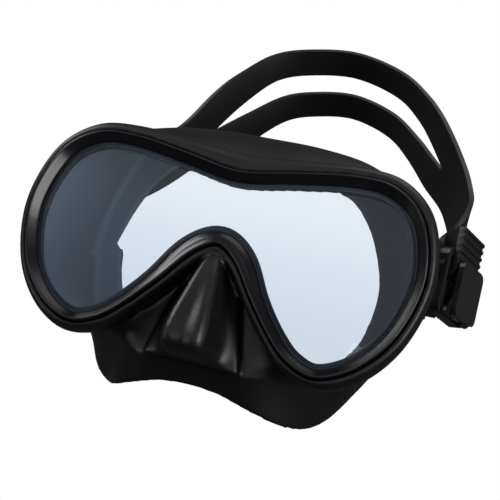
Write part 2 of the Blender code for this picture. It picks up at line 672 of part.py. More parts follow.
def loop_stations(start, finish):
    """Stations of the two yokes and the split band, between the ends of the two tongues."""
    control = [start] + [loop_point(*item) for item in STRAP_ROUTE] + [finish]
    padded = [control[0] + Vector((0.0, 0.0, -12.0))] + control + [control[-1] + Vector((0.0, 0.0, -12.0))]
    spans = len(control) - 1
    back_dir = Vector((0.0, math.cos(STRAP_TILT), -math.sin(STRAP_TILT)))
    left_width = Vector((math.sin(BUCKLE_YAW), math.cos(BUCKLE_YAW), 0.0))
    right_width = Vector((-math.sin(BUCKLE_YAW), math.cos(BUCKLE_YAW), 0.0))
    made = []
    for index in range(spans):
        for step in range(SPAN_STEPS):
            place = index + step / SPAN_STEPS
            if place == 0:
                continue
            point = spline_point(*padded[index:index + 4], step / SPAN_STEPS)
            inboard = Vector((-1.0 if point.x > 16.0 else 1.0, 0.0, 0.0)) * min(1.0, abs(point.x - 16.0) / 40.0)
            loop_dir = (back_dir + CONE_LEAN * inboard).normalized()
            start_share = smooth_step(place / 1.7)
            end_share = smooth_step((spans - place) / 1.7)
            width = left_width.lerp(loop_dir, start_share)
            if place > spans / 2:
                width = right_width.lerp(loop_dir, end_share)
            yoke = min(smooth_step(place / 1.7), smooth_step((spans - place) / 1.7))
            split = min(place - SLOT_START, SLOT_END - place)
            spread = smooth_step(split / 1.6 + 0.5)
            half = TONGUE_HALF_WIDTH + (YOKE_HALF_WIDTH - TONGUE_HALF_WIDTH) * yoke
            half += (BAND_HALF_WIDTH - YOKE_HALF_WIDTH) * spread
            slot = 0.7 + (SLOT_HALF_WIDTH - 0.7) * smooth_step(split / 1.8)
            thickness = TONGUE_THICKNESS + (WEB_THICKNESS - TONGUE_THICKNESS) * yoke
            made.append((point, width.normalized(), half, slot, thickness, 0.0, split >= 0.0))
    return made


def make_strap():
    """Silicone strap: ribbed tongues round both rollers, a yoke on each side and the split band."""
    left = tongue_stations(1)
    right = tongue_stations(-1)
    stations = left + loop_stations(left[-1][0], right[-1][0]) + list(reversed(right))
    bm = bmesh.new()
    faces_out = []
    faces_in = []
    for index, (point, width, half, slot, thickness, rib, _open) in enumerate(stations):
        before = stations[max(index - 1, 0)][0]
        after = stations[min(index + 1, len(stations) - 1)][0]
        along = (after - before).normalized()
        normal = along.cross(width).normalized()
        across = (-half, -slot, slot, half)
        faces_out.append([bm.verts.new(point + width * step + normal * (0.5 * thickness + rib)) for step in across])
        faces_in.append([bm.verts.new(point + width * step - normal * 0.5 * thickness) for step in across])
    cells = set()
    for index in range(len(stations) - 1):
        for column in range(3):
            open_slot = stations[index][6] and stations[index + 1][6]
            if column == 1 and open_slot:
                continue
            cells.add((index, column))
    for index, column in cells:
        for rows in (faces_out, faces_in):
            bm.faces.new((rows[index][column], rows[index][column + 1],
                          rows[index + 1][column + 1], rows[index + 1][column]))
        walls = (((index, column - 1), (index, column), (index + 1, column)),
                 ((index, column + 1), (index, column + 1), (index + 1, column + 1)),
                 ((index - 1, column), (index, column), (index, column + 1)),
                 ((index + 1, column), (index + 1, column), (index + 1, column + 1)))
        for neighbour, first, second in walls:
            if neighbour not in cells:
                bm.faces.new((faces_out[first[0]][first[1]], faces_out[second[0]][second[1]],
                              faces_in[second[0]][second[1]], faces_in[first[0]][first[1]]))
    finish_object("strap", bm, BLACK_SILICONE, pivot_point(1))


def main():
    """Build every piece of the mask."""
    clear_scene()
    make_skirt()
    make_lens()
    profile_ring("clamp_ring", RING_PROFILE, BLACK_PLASTIC, -0.8)
    profile_ring("frame_hoop", HOOP_PROFILE, BLACK_PLASTIC, -0.8)
    for side in (1, -1):
        make_anchor(side)
        make_buckle_frame(side)
        make_roller(side)
        make_lever(side)
    make_strap()


main()
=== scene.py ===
"""Looks of a single-lens snorkel mask: silicone skirt, glass, clamp ring, strap and buckles.

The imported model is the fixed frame. Sizes here are millimetres unless a name says otherwise, and they
become metres where vertices are made. +X is the wearer's left, the wearer looks along -Y, +Z is up.
"""

import logging
import math
from dataclasses import dataclass
from enum import Enum
from typing import Sequence

import bmesh
import bpy
from mathutils import Matrix, Vector
from mathutils.bvhtree import BVHTree


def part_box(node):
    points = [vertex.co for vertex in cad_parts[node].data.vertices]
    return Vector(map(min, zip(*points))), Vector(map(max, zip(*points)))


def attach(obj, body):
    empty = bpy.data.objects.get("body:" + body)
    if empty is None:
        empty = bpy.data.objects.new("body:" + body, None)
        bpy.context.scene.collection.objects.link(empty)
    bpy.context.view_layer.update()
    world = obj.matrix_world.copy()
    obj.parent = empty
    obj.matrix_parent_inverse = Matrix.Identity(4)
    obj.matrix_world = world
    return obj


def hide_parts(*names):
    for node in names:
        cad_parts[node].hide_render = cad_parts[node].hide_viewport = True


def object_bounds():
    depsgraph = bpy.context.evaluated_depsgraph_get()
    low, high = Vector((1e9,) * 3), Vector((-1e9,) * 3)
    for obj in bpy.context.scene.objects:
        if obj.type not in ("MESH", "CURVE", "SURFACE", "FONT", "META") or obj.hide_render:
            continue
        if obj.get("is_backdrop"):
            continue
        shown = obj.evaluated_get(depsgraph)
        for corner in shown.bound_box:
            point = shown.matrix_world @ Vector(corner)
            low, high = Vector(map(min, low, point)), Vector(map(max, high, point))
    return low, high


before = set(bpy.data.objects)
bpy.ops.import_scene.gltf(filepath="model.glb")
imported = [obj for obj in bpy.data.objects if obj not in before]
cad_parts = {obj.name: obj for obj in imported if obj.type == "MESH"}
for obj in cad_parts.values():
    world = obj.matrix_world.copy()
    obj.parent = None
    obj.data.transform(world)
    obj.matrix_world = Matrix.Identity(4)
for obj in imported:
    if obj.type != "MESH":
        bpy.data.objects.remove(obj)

LOG = logging.getLogger("snorkel_mask")
MM = 0.001
RIM_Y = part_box("clamp_ring")[0][1] / MM - 0.05
PIVOT = Vector((87.0, RIM_Y + 38.0, 5.5))
BUCKLE_YAW = math.radians(25.0)
Outline = list[Vector]


class Side(Enum):
    """The wearer's sides, with the sign of X."""

    LEFT = 1
    RIGHT = -1

    @property
    def label(self) -> str:
        """Name used at the end of node names."""
        return self.name.lower()


# ---------------------------------------------------------------------------------------------------------
# Shape tools
# ---------------------------------------------------------------------------------------------------------


def spline_point(before: Vector, start: Vector, end: Vector, after: Vector, share: float) -> Vector:
    """Find a Catmull-Rom point.

    Args:
        before, start, end, after: The four control points; the curve runs from start to end.
        share: Share of the way from start to end.

    Returns:
        The point on the curve.
    """
    square = share * share
    cube = square * share
    middle = (end - before) * share + (2.0 * before - 5.0 * start + 4.0 * end - after) * square
    return 0.5 * (2.0 * start + middle + (3.0 * start - before - 3.0 * end + after) * cube)


def closed_outline(half: Sequence[tuple[float, ...]], steps: int) -> Outline:
    """Mirror a half outline and smooth it.

    Args:
        half: Points from the top of the middle line down the +X side to its bottom.
        steps: Samples on each span.

    Returns:
        The closed loop as points of across, height and depth.
    """
    right = [Vector(point).to_3d() for point in half]
    control = right + [Vector((-point.x, point.y, point.z)) for point in reversed(right[1:-1])]
    count = len(control)
    loop = []
    for index in range(count):
        points = [control[(index + step) % count] for step in (-1, 0, 1, 2)]
        loop += [spline_point(*points, step / steps) for step in range(steps)]
    return loop


def offset_outline(loop: Outline, distance: float, arch: float = 0.0) -> Outline:
    """Move a loop along its normals.

    Args:
        loop: Closed loop.
        distance: Distance outward.
        arch: Extra distance inward round the nose.

    Returns:
        The moved loop.
    """
    count = len(loop)
    moved = []
    for index, point in enumerate(loop):
        along = loop[(index + 1) % count] - loop[index - 1]
        normal = Vector((-along.y, along.x, 0.0)).normalized()
        near_nose = math.exp(-((point.x / 20.0) ** 2) - ((point.y + 8.0) / 16.0) ** 2)
        moved.append(point + normal * (distance - arch * near_nose))
    return moved


def mix_outline(first: Outline, second: Outline, share: float) -> Outline:
    """Blend two loops of equal length point by point."""
    return [a.lerp(b, share) for a, b in zip(first, second)]


def at_depth(loop: Outline, depth: float) -> Outline:
    """Give every point of a loop one depth."""
    return [Vector((point.x, point.y, depth)) for point in loop]


def deeper(loop: Outline, extra: float) -> Outline:
    """Move a loop back by a distance."""
    return [Vector((point.x, point.y, point.z + extra)) for point in loop]


def ring_of(loop: Outline) -> list[Vector]:
    """Turn a loop's points into points in space."""
    return [Vector((point.x, RIM_Y + point.z, point.y)) for point in loop]


def ring_at(loop: Outline, depth: float) -> list[Vector]:
    """Place a loop at a depth behind the front of the rim."""
    return ring_of(at_depth(loop, depth))


def smooth_step(value: float) -> float:
    """Ease from 0 to 1 over the range 0 to 1."""
    limited = max(0.0, min(1.0, value))
    return limited * limited * (3.0 - 2.0 * limited)


def round_profile(points: Sequence[tuple[float, float]], radius: float, steps: int = 3) -> list[Vector]:
    """Round the corners of a closed profile.

    Args:
        points: Corners of the profile.
        radius: Largest corner radius; short sides get less.
        steps: Segments on each corner.

    Returns:
        The rounded profile.
    """
    corners = [Vector(point) for point in points]
    rounded = []
    for index, corner in enumerate(corners):
        to_last = corners[index - 1] - corner
        to_next = corners[(index + 1) % len(corners)] - corner
        reach = min(radius, 0.4 * to_last.length, 0.4 * to_next.length)
        start = corner + to_last.normalized() * reach
        end = corner + to_next.normalized() * reach
        for step in range(steps + 1):
            share = step / steps
            rounded.append(start.lerp(corner, share).lerp(corner.lerp(end, share), share))
    return rounded


def loft(bm: bmesh.types.BMesh, rings: Sequence[Sequence[Vector]],
         wrapped: bool = False) -> bmesh.types.BMesh:
    """Skin equal rings.

    Args:
        bm: Mesh that takes the faces.
        rings: Rings of equal length.
        wrapped: Join the last ring to the first instead of capping both ends.

    Returns:
        The same mesh.
    """
    rows = [[bm.verts.new(point) for point in ring] for ring in rings]
    count = len(rows[0])
    for index in range(len(rows) if wrapped else len(rows) - 1):
        here, there = rows[index], rows[(index + 1) % len(rows)]
        for step in range(count):
            following = (step + 1) % count
            bm.faces.new((here[step], here[following], there[following], there[step]))
    if not wrapped:
        bm.faces.new(rows[0])
        bm.faces.new(rows[-1])
    return bm


def make_object(name: str, bm: bmesh.types.BMesh, sharp_angle: float = 35.0) -> bpy.types.Object:
    """Turn a mesh in millimetres into a smooth-shaded object.

    Args:
        name: Object name.
        bm: The mesh; it is freed.
        sharp_angle: Edges sharper than this many degrees stay sharp.

    Returns:
        The new object.
    """
    bmesh.ops.remove_doubles(bm, verts=bm.verts, dist=0.0005)
    bmesh.ops.recalc_face_normals(bm, faces=bm.faces)
    bmesh.ops.scale(bm, vec=(MM, MM, MM), verts=bm.verts)
    mesh = bpy.data.meshes.new(name)
    bm.to_mesh(mesh)
    bm.free()
    mesh.shade_smooth()
    mesh.set_sharp_from_angle(angle=math.radians(sharp_angle))
    made = bpy.data.objects.new(name, mesh)
    bpy.context.collection.objects.link(made)
    return made


def apply_modifiers(item: bpy.types.Object) -> None:
    """Apply every modifier of an object by reading its evaluated mesh."""
    graph = bpy.context.evaluated_depsgraph_get()
    mesh = bpy.data.meshes.new_from_object(item.evaluated_get(graph))
    item.modifiers.clear()
    item.data = mesh


def combine(target: bpy.types.Object, others: Sequence[bpy.types.Object], operation: str) -> None:
    """Apply exact Booleans and remove the other objects.

    Args:
        target: Object that is changed.
        others: Objects that are united or cut away.
        operation: UNION or DIFFERENCE.
    """
    for other in others:
        modifier = target.modifiers.new(other.name, "BOOLEAN")
        modifier.operation = operation
        modifier.solver = "EXACT"
        modifier.object = other
    apply_modifiers(target)
    for other in others:
        bpy.data.objects.remove(other, do_unlink=True)


def buckle_matrix(side: Side) -> Matrix:
    """Axes of one buckle: X out of the cover, Y across the strap, Z up, mirrored on the right."""
    place = Matrix.Translation(PIVOT) @ Matrix.Rotation(-BUCKLE_YAW, 4, "Z")
    if side is Side.RIGHT:
        place = Matrix.Scale(-1.0, 4, (1.0, 0.0, 0.0)) @ place
    return place


# ---------------------------------------------------------------------------------------------------------
# Finishes
# ---------------------------------------------------------------------------------------------------------


class Shader:
    """Thin helper round one node tree."""

    def __init__(self, name: str) -> None:
        """Start a material with a Principled shader and object coordinates."""
        self.material = bpy.data.materials.new(name)
        self.material.use_nodes = True
        self.tree = self.material.node_tree
        self.surface = self.tree.nodes["Principled BSDF"]
        self.place = self.tree.nodes.new("ShaderNodeTexCoord").outputs["Object"]

    def set(self, **values: float | tuple) -> None:
        """Set constants on the surface's sockets; underscores stand for spaces."""
        for key, value in values.items():
            self.surface.inputs[key.replace("_", " ")].default_value = value

    def noise(self, scale: float, detail: float = 3.0, roughness: float = 0.5) -> bpy.types.NodeSocket:
        """Add a noise texture.

        Args:
            scale: Features per metre.
            detail: Octaves.
            roughness: Strength of the finer octaves.

        Returns:
            The noise factor.
        """
        node = self.tree.nodes.new("ShaderNodeTexNoise")
        node.inputs["Scale"].default_value = scale
        node.inputs["Detail"].default_value = detail
        node.inputs["Roughness"].default_value = roughness
        self.tree.links.new(self.place, node.inputs["Vector"])
        return node.outputs["Fac"]

    def ramp(self, factor: bpy.types.NodeSocket, low: tuple, high: tuple, start: float = 0.35,
             end: float = 0.65) -> bpy.types.NodeSocket:
        """Turn a factor into a colour between two stops.

        Args:
            factor: Value from 0 to 1.
            low, high: Colours at the two stops.
            start, end: Places of the stops.

        Returns:
            The colour.
        """
        node = self.tree.nodes.new("ShaderNodeValToRGB")
        node.color_ramp.elements[0].position = start
        node.color_ramp.elements[0].color = low
        node.color_ramp.elements[1].position = end
        node.color_ramp.elements[1].color = high
        self.tree.links.new(factor, node.inputs["Fac"])
        return node.outputs["Color"]

    def span(self, factor: bpy.types.NodeSocket, low: float, high: float) -> bpy.types.NodeSocket:
        """Map a factor from 0..1 onto low..high."""
        node = self.tree.nodes.new("ShaderNodeMapRange")
        node.inputs["To Min"].default_value = low
        node.inputs["To Max"].default_value = high
        self.tree.links.new(factor, node.inputs["Value"])
        return node.outputs["Result"]

    def along(self, way: tuple[float, float, float], start: float, end: float) -> bpy.types.NodeSocket:
        """Measure how far the surface lies along a direction.

        Args:
            way: Direction in the object's axes.
            start, end: Distances in millimetres that map onto 0 and 1.

        Returns:
            The share, held between 0 and 1.
        """
        dot = self.tree.nodes.new("ShaderNodeVectorMath")
        dot.operation = "DOT_PRODUCT"
        dot.inputs[1].default_value = way
        self.tree.links.new(self.place, dot.inputs[0])
        node = self.tree.nodes.new("ShaderNodeMapRange")
        node.interpolation_type = "SMOOTHSTEP"
        node.inputs["From Min"].default_value = start * MM
        node.inputs["From Max"].default_value = end * MM
        self.tree.links.new(dot.outputs["Value"], node.inputs["Value"])
        return node.outputs["Result"]

    def feed(self, socket: str, source: bpy.types.NodeSocket) -> None:
        """Link a source to one of the surface's sockets."""
        self.tree.links.new(source, self.surface.inputs[socket])

    def bump(self, height: bpy.types.NodeSocket, distance: float, strength: float = 1.0) -> None:
        """Add relief.

        Args:
            height: Height factor.
            distance: Depth of the relief in metres.
            strength: Share of the relief that shows.
        """
        node = self.tree.nodes.new("ShaderNodeBump")
        node.inputs["Strength"].default_value = strength
        node.inputs["Distance"].default_value = distance
        old = self.surface.inputs["Normal"].links
        if old:
            self.tree.links.new(old[0].from_socket, node.inputs["Normal"])
        self.tree.links.new(height, node.inputs["Height"])
        self.tree.links.new(node.outputs["Normal"], self.surface.inputs["Normal"])


@dataclass(frozen=True)
class MouldedFinish:
    """Black moulded silicone or plastic.

    Roughness and colour drift slowly over the surface, and a fine texture breaks up the reflections.
    """

    name: str
    colour: tuple[float, float, float]
    roughness: tuple[float, float] = (0.34, 0.46)
    specular: float = 0.5
    grain: float = 900.0
    grain_depth: float = 0.00002
    drift: float = 18.0
    coat: float = 0.0

    def make(self) -> bpy.types.Material:
        """Build the material."""
        shader = Shader(self.name)
        dark = tuple(0.8 * part for part in self.colour) + (1.0,)
        light = tuple(1.25 * part for part in self.colour) + (1.0,)
        drift = shader.noise(self.drift, 2.0)
        grain = shader.noise(self.grain, 2.0, 0.6)
        shader.feed("Base Color", shader.ramp(drift, dark, light))
        shader.feed("Roughness", shader.span(drift, *self.roughness))
        shader.bump(grain, self.grain_depth)
        shader.set(Metallic=0.0, IOR=1.45, Specular_IOR_Level=self.specular, Coat_Weight=self.coat,
                   Coat_Roughness=0.12)
        return shader.material


@dataclass(frozen=True)
class LiningFinish:
    """Inside of the skirt: matt silicone painted with a gradient from dark to pale.

    The real silicone is black. The gradient stands in for daylight that reaches it from one side.
    """

    name: str
    dark: tuple[float, float, float] = (0.030, 0.040, 0.055)
    light: tuple[float, float, float] = (0.300, 0.350, 0.420)
    way: tuple[float, float, float] = (-0.8, 0.0, -0.6)
    reach: float = 55.0

    def make(self) -> bpy.types.Material:
        """Build the material."""
        shader = Shader(self.name)
        share = shader.along(self.way, -self.reach, self.reach)
        shader.feed("Base Color", shader.ramp(share, self.dark + (1.0,), self.light + (1.0,), 0.0, 1.0))
        shader.feed("Roughness", shader.span(shader.noise(18.0, 2.0), 0.45, 0.58))
        shader.bump(shader.noise(1100.0, 2.0, 0.6), 0.000015)
        shader.set(Metallic=0.0, IOR=1.45, Specular_IOR_Level=0.35)
        return shader.material


@dataclass(frozen=True)
class GlassFinish:
    """Clear tempered glass with a cool tint, and painted shade that deepens the tint downward."""

    name: str
    low: tuple[float, float, float] = (0.64, 0.72, 0.82)
    high: tuple[float, float, float] = (0.82, 0.88, 0.95)
    reach: float = 32.0

    def make(self) -> bpy.types.Material:
        """Build the material."""
        shader = Shader(self.name)
        # Painted shade: the tint darkens toward the bottom of the lens.
        share = shader.along((0.0, 0.0, 1.0), -self.reach, self.reach)
        shader.feed("Base Color", shader.ramp(share, self.low + (1.0,), self.high + (1.0,), 0.0, 1.0))
        shader.set(Roughness=0.0, Transmission_Weight=1.0, IOR=1.5)
        return shader.material


@dataclass(frozen=True)
class SteelFinish:
    """Drawn stainless steel."""

    name: str
    colour: tuple[float, float, float] = (0.60, 0.60, 0.62)

    def make(self) -> bpy.types.Material:
        """Build the material."""
        shader = Shader(self.name)
        grain = shader.noise(2500.0, 2.0)
        low = tuple(0.85 * part for part in self.colour) + (1.0,)
        shader.feed("Base Color", shader.ramp(grain, low, self.colour + (1.0,)))
        shader.feed("Roughness", shader.span(grain, 0.2, 0.38))
        shader.set(Metallic=1.0)
        return shader.material


SKIRT_SILICONE = MouldedFinish("skirt_silicone_satin", (0.0042, 0.0044, 0.0052), (0.36, 0.46))
LINING_SILICONE = LiningFinish("skirt_silicone_lining")
STRAP_SILICONE = MouldedFinish("strap_silicone_satin", (0.0042, 0.0044, 0.0052), (0.38, 0.48))
RING_PLASTIC = MouldedFinish("ring_plastic_gloss", (0.004, 0.004, 0.005), (0.24, 0.32), coat=0.1)
# The lens's bevel and edge are opaque here, in place of clear ground glass.
GROUND_GLASS = MouldedFinish("lens_edge_ground", (0.050, 0.062, 0.083), (0.34, 0.42), grain=2400.0)
HOOP_PLASTIC = MouldedFinish("hoop_plastic_matt", (0.008, 0.008, 0.009), (0.5, 0.6))
BUCKLE_PLASTIC = MouldedFinish("buckle_plastic_satin", (0.010, 0.010, 0.011), (0.28, 0.36), grain=1600.0)
LENS_GLASS = GlassFinish("lens_glass_clear")
STEEL = SteelFinish("steel_drawn")


def dress(item: bpy.types.Object, *materials: bpy.types.Material) -> None:
    """Replace an object's materials."""
    item.data.materials.clear()
    for material in materials:
        item.data.materials.append(material)


def dress_node(name: str, material: bpy.types.Material, bevel: float = 0.0) -> None:
    """Give a CAD node its finish and, where asked, rounded edges.

    Args:
        name: Node name.
        material: Its finish.
        bevel: Edge radius in millimetres.
    """
    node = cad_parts[name]
    for slot in node.material_slots:
        slot.material = material
    if bevel > 0.0:
        modifier = node.modifiers.new("edge_round", "BEVEL")
        modifier.width = bevel * MM
        modifier.segments = 2
        modifier.limit_method = "ANGLE"
        modifier.angle_limit = math.radians(40.0)
        modifier.harden_normals = False


# ---------------------------------------------------------------------------------------------------------
# Mask
# ---------------------------------------------------------------------------------------------------------

RIM = ((0, 30.3), (22.2, 33.9), (44.6, 37.1), (61, 35.6), (73.7, 24.9), (79, 3.1), (74.1, -18.7),
       (63.5, -33.5), (50, -40.9), (39.3, -38.5), (30.5, -31.4), (19.5, -18.6), (9.3, -5.1), (0, 0.5))
BUMPER = ((0, 40.5), (22.5, 42), (46, 43.8), (64.5, 41), (78.3, 27.5), (83.5, 3.5), (78.3, -20),
          (67, -36.5), (52, -44.8), (37, -42), (27.5, -34), (16.3, -21), (6.8, -8.8), (0, -4.5))
# The shoulder, where the wall turns outward, and the fold, its rear edge, also carry their depth.
SHOULDER = ((0, 54, 25), (22.2, 54.2, 25), (44, 52.7, 25), (58.6, 46.6, 25), (69.6, 30.5, 25.5),
            (73.7, 5, 26), (69.6, -17.5, 28),
            (58, -31, 34), (47, -36.8, 33), (37, -40.5, 25), (28, -43.3, 17.5),
            (19.5, -45.3, 14), (9, -46, 13.8), (0, -46.2, 13.8))
FOLD = ((0, 64, 47), (22, 63.5, 47), (43, 60, 48), (56, 51.5, 50), (66, 33, 52), (69.5, 6, 54),
        (66.3, -18.5, 54), (57.5, -37, 53),
        (50, -49.5, 49), (42, -55.5, 45), (34, -57.4, 33), (24, -56.2, 23.5),
        (12, -53.4, 19), (0, -52.6, 18))
OPENING = ((0, 42), (18, 43), (36, 41.5), (46, 33.5), (53, 20), (56, 6), (54, -10),
           (47.5, -21.5), (40, -28.5), (32, -34), (24, -39.5), (16, -42.5), (8, -43.6), (0, -44))


# The rounded upper form fades out between these heights: where it starts, and over what distance.
LOBE_TOP = -32.0
UPPER_BLEND = 26.0


@dataclass
class SweptRing:
    """A closed profile swept round the rim line."""

    name: str
    node: str
    profile: tuple[tuple[float, float], ...]
    finish: MouldedFinish
    corner: float = 0.35
    arch_from: float = -0.8
    arch: float = 3.0
    steps: int = 8

    def build(self) -> bpy.types.Object:
        """Sweep the rounded profile; points inside arch_from widen round the nose."""
        rim = closed_outline(RIM, self.steps)
        rings = []
        for point in round_profile(self.profile, self.corner):
            share = smooth_step((self.arch_from - point.x) / 1.2 + 0.5)
            rings.append(ring_at(offset_outline(rim, point.x, self.arch * share), point.y))
        made = make_object(self.name, loft(bmesh.new(), rings, wrapped=True), 50.0)
        dress(made, self.finish.make())
        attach(made, "mask")
        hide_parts(self.node)
        return made


@dataclass
class Lens:
    """Flat glass pane with a bevelled front."""

    name: str = "lens_pane"
    edge: float = -0.9
    back: float = 7.2
    flange: float = 4.5
    bevel_start: float = -3.7
    bevel_end: float = -5.2
    face: float = 3.2
    arch: float = 3.0
    steps: int = 8

    def build(self) -> bpy.types.Object:
        """Skin the pane from its back edge to its raised front face."""
        rim = closed_outline(RIM, self.steps)
        stations = ((self.edge - 0.3, self.back, 0.0), (self.edge, self.back - 0.3, 0.0),
                    (self.edge, self.flange + 0.2, 0.0), (self.edge - 0.2, self.flange, 0.0),
                    (self.bevel_start, self.flange, self.arch),
                    (self.bevel_end + 0.1, self.face + 0.06, self.arch),
                    (self.bevel_end - 0.1, self.face, self.arch))
        rings = [ring_at(offset_outline(rim, offset, arch), depth) for offset, depth, arch in stations]
        made = make_object(self.name, loft(bmesh.new(), rings), 18.0)
        dress(made, LENS_GLASS.make(), GROUND_GLASS.make())
        for face in made.data.polygons:
            forward = face.normal.y < -0.2 and face.center.y > (RIM_Y + self.face + 0.02) * MM
            if forward or abs(face.normal.y) < 0.2:
                face.material_index = 1
        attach(made, "mask")
        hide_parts("lens")
        return made


@dataclass
class Skirt:
    """The silicone moulding: bumper, walls, nose pocket, face seal and buckle tabs."""

    steps: int = 6
    wall: float = 2.3
    seat_clearance: float = 1.0
    seat_front: float = -4.0
    seat_depth: float = 10.6
    ledge_depth: float = 12.6
    ledge_reach: float = -4.2
    crease_depth: float = 13.0
    arch: float = 3.0
    voxel: float = 0.85
    front_stations: tuple[float, ...] = (0.14, 0.28, 0.42, 0.58, 0.75, 0.88)
    rear_stations: tuple[float, ...] = (0.12, 0.25, 0.38, 0.5, 0.62, 0.75, 0.88)
    front_bulge: float = 0.1
    rear_bulge: float = 0.24
    front_shift: float = 2.0
    seal_drop: float = 1.8
    seal_lip: float = 2.8
    chin_depth: float = 18.5
    chin_blend: float = 12.0
    cavity_depth: float = 70.0
    tab_face: float = 80.2
    recess_radius: float = 6.3
    lining_reach: float = 0.6
    lobe_height: float = -46.0
    pocket_levels: tuple[tuple[float, float, float, float], ...] = (
        (-0.6, 5.5, 2.7, 4.0), (-6, 8.0, 3.8, 1.0), (-12, 10.8, 5.2, -2.0), (-20, 13.0, 6.6, -5.0),
        (-28, 15.2, 8.0, -8.0), (-35, 17.0, 9.2, -10.0), (-40, 18.3, 9.6, -10.4),
        (-43.4, 18.9, 8.8, -8.6), (-45.6, 19.0, 6.5, -3.0))
    pocket_back: float = 14.7
    pocket_wall: float = 2.0
    flange_depth: float = 10.5
    nostril_groove: float = 1.2

    @staticmethod
    def upper_part(point: Vector) -> float:
        """Share of the rounded upper form at a point: 1 above the middle, 0 at the lobes."""
        return smooth_step((point.y - LOBE_TOP) / UPPER_BLEND)

    def wall_loop(self, first: Outline, second: Outline, share: float, bulge: float) -> Outline:
        """Find a loop on the wall.

        Args:
            first, second: Loops at the wall's front and back.
            share: Share of the way between them.
            bulge: Outward swell of the upper part.

        Returns:
            The loop.
        """
        loop = []
        for start, end in zip(first, second):
            point = start.lerp(end, share + bulge * self.upper_part(end) * math.sin(math.pi * share))
            point.z = start.z + (end.z - start.z) * share
            loop.append(point)
        return loop

    def inner_loop(self, loop: Outline, shift: float) -> Outline:
        """Find the inner face of the wall.

        Args:
            loop: Loop on the outer face.
            shift: Distance back where the wall faces forward.

        Returns:
            The inner loop.
        """
        moved = offset_outline(loop, -self.wall)
        return [Vector((point.x, point.y, point.z + shift * (1.0 - self.upper_part(outer))))
                for point, outer in zip(moved, loop)]

    def filled_chin(self, loop: Outline, opening: Outline, shoulder: Outline, extra: float) -> Outline:
        """Keep the shallow chin solid.

        Args:
            loop: Cavity loop.
            opening: Edge of the face opening, which the chin follows straight back.
            shoulder: Loop that gives the chin's depth.
            extra: Distance behind the shoulder.

        Returns:
            The changed loop.
        """
        shaped = []
        for point, edge, front in zip(loop, opening, shoulder):
            straight = Vector((edge.x, edge.y, front.z + self.front_shift + extra))
            shaped.append(straight.lerp(point, smooth_step((edge.z - self.chin_depth) / self.chin_blend)))
        return shaped

    def lines(self) -> tuple[Outline, Outline, Outline, Outline]:
        """Crease, shoulder, fold and face opening, each with its depth."""
        crease = at_depth(offset_outline(closed_outline(BUMPER, self.steps), -3.0), self.crease_depth)
        shoulder = closed_outline(SHOULDER, self.steps)
        fold = closed_outline(FOLD, self.steps)
        opening = closed_outline(OPENING, self.steps)
        return crease, shoulder, fold, [Vector((near.x, near.y, far.z - self.seal_drop))
                                        for near, far in zip(opening, fold)]

    def outer(self) -> bmesh.types.BMesh:
        """Solid outer form from the bumper to the face seal."""
        lip = offset_outline(closed_outline(RIM, self.steps), 1.9)
        bumper = closed_outline(BUMPER, self.steps)
        crease, shoulder, fold, opening = self.lines()
        rings = [ring_at(lip, 1.3)]
        for turn in (12, 30, 50, 70, 90):
            angle = math.radians(turn)
            rings.append(ring_at(mix_outline(lip, bumper, math.sin(angle)), 7.0 - 5.7 * math.cos(angle)))
        rings.append(ring_at(offset_outline(bumper, -0.4), 10.0))
        rings.append(ring_at(offset_outline(bumper, -1.5), 12.0))
        rings.append(ring_of(crease))
        rings += [ring_of(self.wall_loop(crease, shoulder, share, self.front_bulge))
                  for share in self.front_stations]
        rings.append(ring_of(shoulder))
        rings += [ring_of(self.wall_loop(shoulder, fold, share, self.rear_bulge))
                  for share in self.rear_stations]
        rings.append(ring_of(fold))
        rings.append(ring_of(deeper(offset_outline(fold, -0.5), 1.7)))
        rings.append(ring_of(deeper(offset_outline(fold, -1.8), self.seal_lip)))
        rings.append(ring_of(deeper(mix_outline(fold, opening, 0.5), self.seal_lip)))
        rings.append(ring_of(offset_outline(opening, -2.0)))
        rings.append(ring_at(offset_outline(opening, -4.0), self.cavity_depth - 8.0))
        return loft(bmesh.new(), rings)

    def cavity(self) -> bmesh.types.BMesh:
        """Hollow of the skirt: lens seat, eye space and face opening."""
        rim = closed_outline(RIM, self.steps)
        crease, shoulder, fold, opening = self.lines()
        ledge = offset_outline(rim, self.ledge_reach, self.arch)
        rings = [ring_at(offset_outline(rim, self.seat_clearance), depth)
                 for depth in (self.seat_front, self.seat_depth)]
        rings.append(ring_at(ledge, self.seat_depth))
        rings.append(ring_at(ledge, self.ledge_depth))
        rings.append(ring_of(deeper(self.inner_loop(crease, self.front_shift - 0.4), 0.4)))
        for share in self.front_stations:
            front = self.wall_loop(crease, shoulder, share, self.front_bulge)
            rings.append(ring_of(self.inner_loop(front, self.front_shift)))
        rings.append(ring_of(self.inner_loop(shoulder, self.front_shift)))
        rear = [self.inner_loop(self.wall_loop(shoulder, fold, share, self.rear_bulge),
                                self.front_shift * (1.0 - share)) for share in self.rear_stations[:-1]]
        rear.append(deeper(offset_outline(fold, -self.wall - 0.4), -2.0))
        rear.append(deeper(offset_outline(fold, -self.wall - 2.0), -0.6))
        rear.append(deeper(mix_outline(fold, opening, 0.5), -0.1))
        rear.append(deeper(opening, -2.0))
        rings += [ring_of(self.filled_chin(loop, opening, shoulder, 0.25 * (index + 1)))
                  for index, loop in enumerate(rear)]
        rings.append(ring_at(opening, self.cavity_depth))
        return loft(bmesh.new(), rings)

